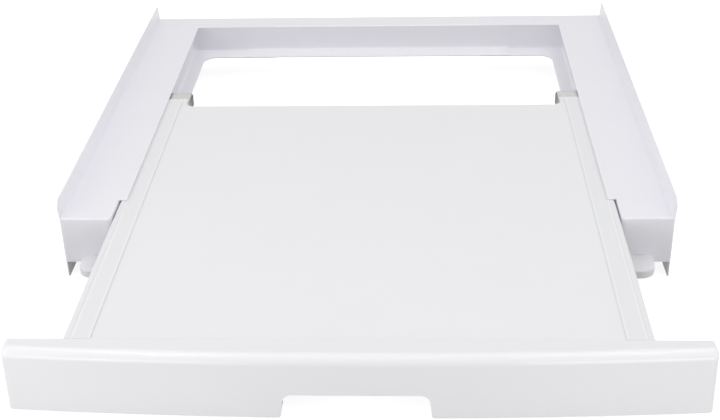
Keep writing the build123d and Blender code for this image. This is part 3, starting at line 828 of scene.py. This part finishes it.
def add_lamp(name, place, aim, size, power):
    """Rectangular soft lamp that points at a place."""
    lamp = bpy.data.lights.new(name, "AREA")
    lamp.shape = "RECTANGLE"
    lamp.size, lamp.size_y = size
    lamp.energy = power
    holder = bpy.data.objects.new(name, lamp)
    holder.location = place
    holder.rotation_euler = (Vector(aim) - Vector(place)).to_track_quat("-Z", "Y").to_euler()
    bpy.context.scene.collection.objects.link(holder)


def on_side(place, side):
    """A right-hand place, or its mirror image on the left where the side is -1."""
    across, along, up = place
    return side * across, along, up


def place_lamps(stage):
    """One lamp overhead, and a pair of each of the others."""
    add_lamp("top lamp", top_place, top_aim, top_size, stage.top_power)
    pairs = (
        ("side", side_place, side_aim, side_size, stage.side_powers),
        ("corner", corner_place, corner_aim, corner_size, stage.corner_powers),
        ("panel", panel_place, panel_aim, panel_size, stage.panel_powers),
        ("strip", strip_place, strip_aim, strip_size, stage.strip_powers),
    )
    for index, (hand, side) in enumerate((("left", -1), ("right", 1))):
        for name, place, aim, size, powers in pairs:
            add_lamp(f"{hand} {name} lamp", on_side(place, side), on_side(aim, side), size, powers[index])


def place_camera(stage):
    """Camera with the turn and the lens that were fitted to the photograph."""
    yaw, pitch, roll = stage.camera_yaw, stage.camera_pitch, stage.camera_roll
    ahead = Vector((math.sin(yaw) * math.cos(pitch), math.cos(yaw) * math.cos(pitch), -math.sin(pitch)))
    level = Vector((math.cos(yaw), -math.sin(yaw), 0.0))
    upright = level.cross(ahead)
    across = level * math.cos(roll) + upright * math.sin(roll)
    up = upright * math.cos(roll) - level * math.sin(roll)
    lens = bpy.data.cameras.new("camera")
    lens.sensor_width = 36.0
    lens.lens = stage.focal_length
    lens.clip_start = 0.01
    camera = bpy.data.objects.new("camera", lens)
    turn = Matrix((across, up, -ahead)).transposed().to_4x4()
    camera.matrix_world = Matrix.Translation(Vector(stage.camera_place)) @ turn
    bpy.context.scene.collection.objects.link(camera)
    bpy.context.scene.camera = camera


# Operators

class KIT_OT_sheet_metal(bpy.types.Operator):
    """Make every finish, and give the frame's and the shelf's folded sheets their powder coat"""

    bl_idname = "kit.sheet_metal"
    bl_label = "Sheet metal"

    def execute(self, context):
        finish = context.scene.kit_finish
        coat = coat_group()
        add_enamels(finish, coat)
        add_mouldings(finish, coat)
        add_metals(finish, zinc_group())
        # Painted highlights and shade on the shelf's borders, and painted light in the opening
        border_light_over(materials["shelf_enamel"], finish.shelf_enamel)
        opening_light_over(materials["well_enamel"], materials["deck_enamel"])
        dress("side_plate_left", "side_plate_right")
        dress("shelf_panel", "shelf_stiffener_front", "shelf_stiffener_rear")
        dress("side_channel_left", "side_channel_right", "rear_channel", finish="well_enamel")
        dress("deck_panel", finish="deck_enamel")
        return {"FINISHED"}


class KIT_OT_mouldings(bpy.types.Operator):
    """Give the front panel and the cross bar their plastic"""

    bl_idname = "kit.mouldings"
    bl_label = "Mouldings"

    def execute(self, context):
        dress("front_panel", "front_cross_bar")
        return {"FINISHED"}


class KIT_OT_runners(bpy.types.Operator):
    """Give the rails, runners, cages and balls their metals"""

    bl_idname = "kit.runners"
    bl_label = "Runners"

    def execute(self, context):
        # Painted shade on the runners' inner walls and cut edges
        runner_shade_over(materials["runner_zinc"], context.scene.kit_finish.runner_shade)
        for side in ("left", "right"):
            dress(f"cabinet_rail_{side}", f"ball_cage_{side}", f"bearing_balls_{side}")
            dress(f"shelf_runner_{side}", finish="runner_zinc")
        return {"FINISHED"}


class KIT_OT_fasteners(bpy.types.Operator):
    """Put cross-head screws and domed buffers in place of their plain solids"""

    bl_idname = "kit.fasteners"
    bl_label = "Fasteners"

    def execute(self, context):
        detail = context.scene.kit_detail
        for node, body, heading, kind in screw_sets:
            add_screw_set(node, body, heading, kind, detail)
        add_buffers(detail)
        return {"FINISHED"}


class KIT_OT_stage(bpy.types.Operator):
    """Set the floor, the lamps and the camera"""

    bl_idname = "kit.stage"
    bl_label = "Stage"

    def execute(self, context):
        stage = context.scene.kit_stage
        make_floor(stage)
        make_world(stage)
        place_lamps(stage)
        place_camera(stage)
        context.scene.view_settings.view_transform = "Standard"
        return {"FINISHED"}


class KIT_PT_panel(bpy.types.Panel):
    bl_label = "Stacking kit"
    bl_idname = "KIT_PT_panel"
    bl_space_type = "VIEW_3D"
    bl_region_type = "UI"
    bl_category = "Stacking kit"

    def draw(self, context):
        layout = self.layout
        for operator in OPERATORS:
            layout.operator(operator.bl_idname)
        for group in (context.scene.kit_finish, context.scene.kit_detail, context.scene.kit_stage):
            box = layout.box()
            for name in group.bl_rna.properties.keys():
                if name not in ("rna_type", "name"):
                    box.prop(group, name)


OPERATORS = (KIT_OT_sheet_metal, KIT_OT_mouldings, KIT_OT_runners, KIT_OT_fasteners, KIT_OT_stage)
CLASSES = (FinishSettings, DetailSettings, StageSettings) + OPERATORS + (KIT_PT_panel,)


def register():
    for each in CLASSES:
        bpy.utils.register_class(each)
    bpy.types.Scene.kit_finish = PointerProperty(type=FinishSettings)
    bpy.types.Scene.kit_detail = PointerProperty(type=DetailSettings)
    bpy.types.Scene.kit_stage = PointerProperty(type=StageSettings)


def unregister():
    del bpy.types.Scene.kit_stage
    del bpy.types.Scene.kit_detail
    del bpy.types.Scene.kit_finish
    for each in reversed(CLASSES):
        bpy.utils.unregister_class(each)


def main():
    register()
    bpy.ops.kit.sheet_metal()
    bpy.ops.kit.mouldings()
    bpy.ops.kit.runners()
    bpy.ops.kit.fasteners()
    bpy.ops.kit.stage()


if __name__ == "__main__":
    main()
